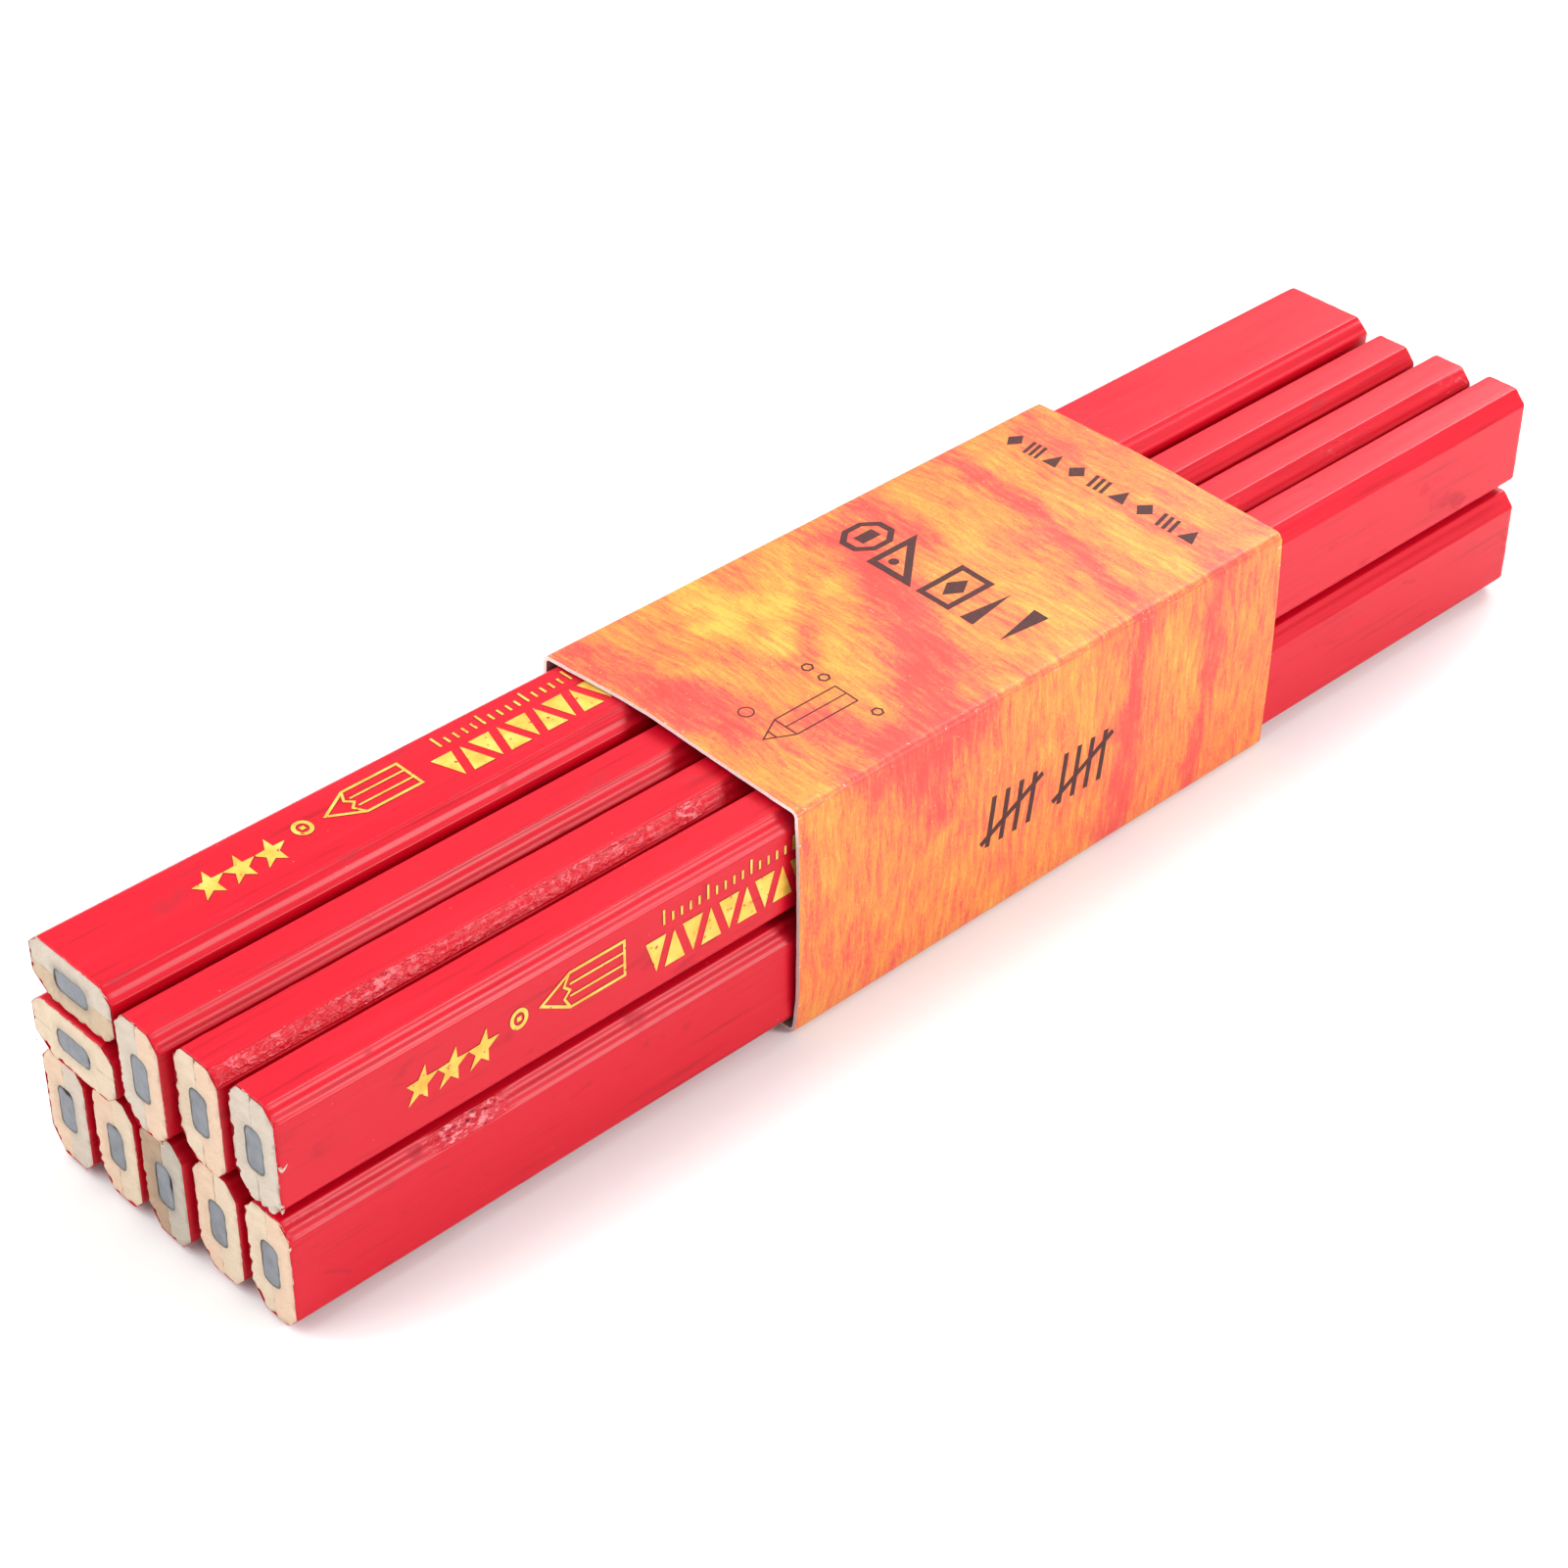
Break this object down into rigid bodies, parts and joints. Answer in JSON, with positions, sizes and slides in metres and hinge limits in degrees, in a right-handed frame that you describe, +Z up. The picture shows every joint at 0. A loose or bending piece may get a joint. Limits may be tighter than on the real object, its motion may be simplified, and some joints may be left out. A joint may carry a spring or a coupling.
{
  "type": "carpenter pencil pack",
  "caption": "Pack of new unsharpened octagonal carpenter pencils with red lacquer and flat leads, held by a folded card sleeve that each pencil slides out of.",
  "frame": {"origin": "middle of the pack's length and width, on the surface that the pack lies on", "axes": "+X along the pencils, towards the end that the sleeve sits nearer to; +Y across the pack, from the upright top pencils to the flat ones; +Z up"},
  "size_m": [0.177, 0.037, 0.0281],
  "materials": {
    "red_lacquer": "gloss lacquer",
    "slat_wood": "raw sawn wood",
    "slat_wood_pale": "raw sawn wood",
    "lead": "satin graphite and clay",
    "sleeve_card": "printed, satin",
    "glue": "dried glue"
  },
  "bodies": {
    "sleeve": {"sleeve_card": "sleeve_card", "sleeve_glue": "glue"},
    "bottom_pencil_1": {"bottom_pencil_1_front_slat": "slat_wood", "bottom_pencil_1_back_slat": "slat_wood_pale", "bottom_pencil_1_lead": "lead", "bottom_pencil_1_lacquer": "red_lacquer"},
    "bottom_pencil_2": {"bottom_pencil_2_front_slat": "slat_wood", "bottom_pencil_2_back_slat": "slat_wood_pale", "bottom_pencil_2_lead": "lead", "bottom_pencil_2_lacquer": "red_lacquer"},
    "bottom_pencil_3": {"bottom_pencil_3_front_slat": "slat_wood", "bottom_pencil_3_back_slat": "slat_wood_pale", "bottom_pencil_3_lead": "lead", "bottom_pencil_3_lacquer": "red_lacquer"},
    "bottom_pencil_4": {"bottom_pencil_4_front_slat": "slat_wood", "bottom_pencil_4_back_slat": "slat_wood_pale", "bottom_pencil_4_lead": "lead", "bottom_pencil_4_lacquer": "red_lacquer"},
    "bottom_pencil_5": {"bottom_pencil_5_front_slat": "slat_wood", "bottom_pencil_5_back_slat": "slat_wood_pale", "bottom_pencil_5_lead": "lead", "bottom_pencil_5_lacquer": "red_lacquer"},
    "top_pencil_1": {"top_pencil_1_front_slat": "slat_wood", "top_pencil_1_back_slat": "slat_wood_pale", "top_pencil_1_lead": "lead", "top_pencil_1_lacquer": "red_lacquer"},
    "top_pencil_2": {"top_pencil_2_front_slat": "slat_wood", "top_pencil_2_back_slat": "slat_wood_pale", "top_pencil_2_lead": "lead", "top_pencil_2_lacquer": "red_lacquer"},
    "top_pencil_3": {"top_pencil_3_front_slat": "slat_wood", "top_pencil_3_back_slat": "slat_wood_pale", "top_pencil_3_lead": "lead", "top_pencil_3_lacquer": "red_lacquer"},
    "flat_pencil_lower": {"flat_pencil_lower_front_slat": "slat_wood", "flat_pencil_lower_back_slat": "slat_wood_pale", "flat_pencil_lower_lead": "lead", "flat_pencil_lower_lacquer": "red_lacquer"},
    "flat_pencil_upper": {"flat_pencil_upper_front_slat": "slat_wood", "flat_pencil_upper_back_slat": "slat_wood_pale", "flat_pencil_upper_lead": "lead", "flat_pencil_upper_lacquer": "red_lacquer"}
  },
  "joints": [
    {"name": "bottom_pencil_1_slide", "type": "slide", "parent": "sleeve", "child": "bottom_pencil_1", "axis": [1, 0, 0], "range_m": [-0.18, 0.18]},
    {"name": "bottom_pencil_2_slide", "type": "slide", "parent": "sleeve", "child": "bottom_pencil_2", "axis": [1, 0, 0], "range_m": [-0.18, 0.18]},
    {"name": "bottom_pencil_3_slide", "type": "slide", "parent": "sleeve", "child": "bottom_pencil_3", "axis": [1, 0, 0], "range_m": [-0.18, 0.18]},
    {"name": "bottom_pencil_4_slide", "type": "slide", "parent": "sleeve", "child": "bottom_pencil_4", "axis": [1, 0, 0], "range_m": [-0.18, 0.18]},
    {"name": "bottom_pencil_5_slide", "type": "slide", "parent": "sleeve", "child": "bottom_pencil_5", "axis": [1, 0, 0], "range_m": [-0.18, 0.18]},
    {"name": "top_pencil_1_slide", "type": "slide", "parent": "sleeve", "child": "top_pencil_1", "axis": [1, 0, 0], "range_m": [-0.18, 0.18]},
    {"name": "top_pencil_2_slide", "type": "slide", "parent": "sleeve", "child": "top_pencil_2", "axis": [1, 0, 0], "range_m": [-0.18, 0.18]},
    {"name": "top_pencil_3_slide", "type": "slide", "parent": "sleeve", "child": "top_pencil_3", "axis": [1, 0, 0], "range_m": [-0.18, 0.18]},
    {"name": "flat_pencil_lower_slide", "type": "slide", "parent": "sleeve", "child": "flat_pencil_lower", "axis": [1, 0, 0], "range_m": [-0.18, 0.18]},
    {"name": "flat_pencil_upper_slide", "type": "slide", "parent": "sleeve", "child": "flat_pencil_upper", "axis": [1, 0, 0], "range_m": [-0.18, 0.18]}
  ]
}
